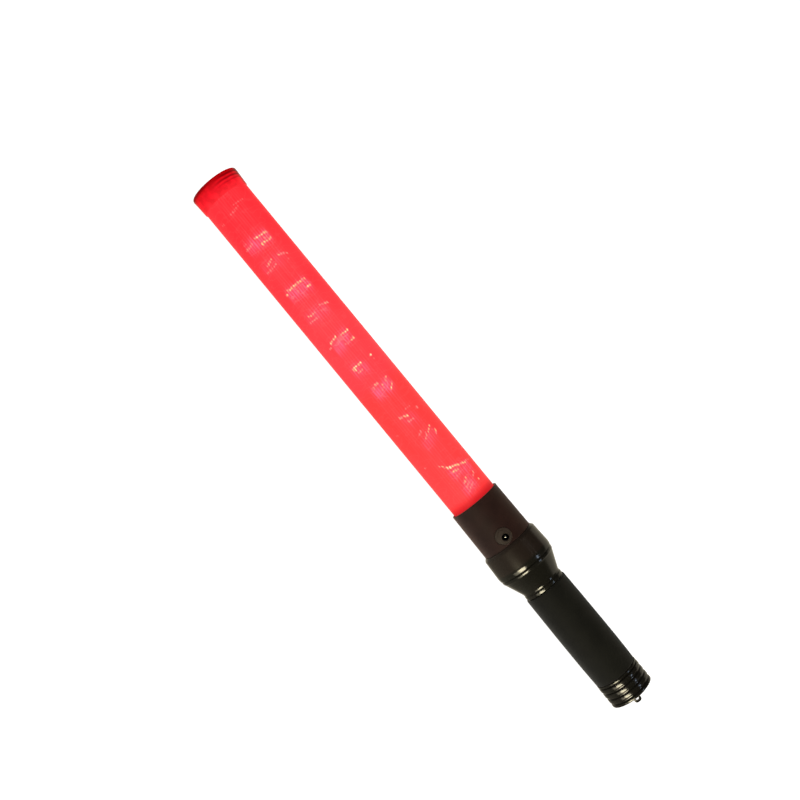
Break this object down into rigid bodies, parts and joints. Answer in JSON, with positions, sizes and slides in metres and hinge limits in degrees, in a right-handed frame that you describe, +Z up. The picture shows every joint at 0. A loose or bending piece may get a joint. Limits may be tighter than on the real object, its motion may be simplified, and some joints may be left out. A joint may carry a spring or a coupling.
{
  "type": "traffic baton light",
  "caption": "Hand-held red light baton: lit tube with a pushed-on cap, dark collar with charging jack and push button, flared head, textured grip and screw tail cap with a lanyard eyelet.",
  "frame": {"origin": "centre of the bottom of the bounding box: on the surface the baton lies on, half-way along it", "axes": "+X along the baton from the tip cap to the lanyard eyelet, +Z up; the charging jack points 45 degrees up towards -Y and the push button is opposite it"},
  "size_m": [0.54, 0.0512, 0.0512],
  "materials": {
    "cap_red": "translucent dark red, gloss",
    "tube_red": "translucent red lit from inside, fine lengthwise flutes",
    "board_white": "white solder mask",
    "board_green": "green solder mask",
    "led_lens": "clear moulded lens",
    "chip_black": "matte moulded black",
    "collar_black": "matte brown-black",
    "gloss_black": "satin gloss olive-black",
    "grip_black": "matte, very fine texture",
    "bezel_grey": "satin dark grey",
    "button_rubber": "matte rubber",
    "seal_rubber": "matte rubber",
    "nickel": "bright nickel plate",
    "brass": "bright brass",
    "spring_steel": "drawn spring wire",
    "cell_can": "plastic-wrapped cell can",
    "lead_red": "red insulation",
    "lead_black": "black insulation"
  },
  "bodies": {
    "baton": {"tip_cap": "cap_red", "light_tube": "tube_red", "led_board": "board_white", "board_holder_tip": "board_white", "board_holder_base": "board_white", "led_01": "led_lens", "led_02": "led_lens", "led_03": "led_lens", "led_04": "led_lens", "led_05": "led_lens", "led_06": "led_lens", "led_07": "led_lens", "led_08": "led_lens", "led_09": "led_lens", "led_10": "led_lens", "led_11": "led_lens", "led_12": "led_lens", "tube_gasket": "seal_rubber", "collar_sleeve": "collar_black", "jack_bezel": "bezel_grey", "jack_socket": "chip_black", "jack_pin": "nickel", "jack_nut": "nickel", "jack_lug_centre": "nickel", "jack_lug_sleeve": "nickel", "button_bezel": "bezel_grey", "switch_housing": "chip_black", "control_board": "board_green", "charge_chip": "chip_black", "filter_capacitor": "chip_black", "led_lead_positive": "lead_red", "led_lead_negative": "lead_black", "jack_lead_positive": "lead_red", "jack_lead_negative": "lead_black", "battery_lead_positive": "lead_red", "battery_lead_negative": "lead_black", "front_carrier": "collar_black", "front_contact": "brass", "negative_strip": "brass", "head_gasket": "seal_rubber", "head_ring": "gloss_black", "handle_shell": "gloss_black", "grip_sleeve": "grip_black", "cell_front": "cell_can", "cell_rear": "cell_can"},
    "push_button": {"switch_button": "button_rubber", "switch_plunger": "bezel_grey"},
    "cap_carriage": {"tail_spring": "spring_steel", "tail_contact": "nickel"},
    "screw_cap": {"tail_cap": "gloss_black", "tail_seal": "seal_rubber"}
  },
  "joints": [
    {"name": "button_press", "type": "slide", "parent": "baton", "child": "push_button", "axis": [0, -0.7071, 0.7071], "range_m": [0, 0.001], "stiffness_N_per_m": 1200, "springref_m": -0.001},
    {"name": "cap_lift", "type": "slide", "parent": "baton", "child": "cap_carriage", "axis": [1, 0, 0], "range_m": [0, 0.0075]},
    {"name": "cap_turn", "type": "hinge", "parent": "cap_carriage", "child": "screw_cap", "pos_m": [0.2615, 0, 0.0256], "axis": [1, 0, 0], "range_deg": [0, 1080]}
  ],
  "couplings": [
    {"joint": "cap_lift", "follows": "cap_turn", "m_per_rad": 0.00039788}
  ]
}
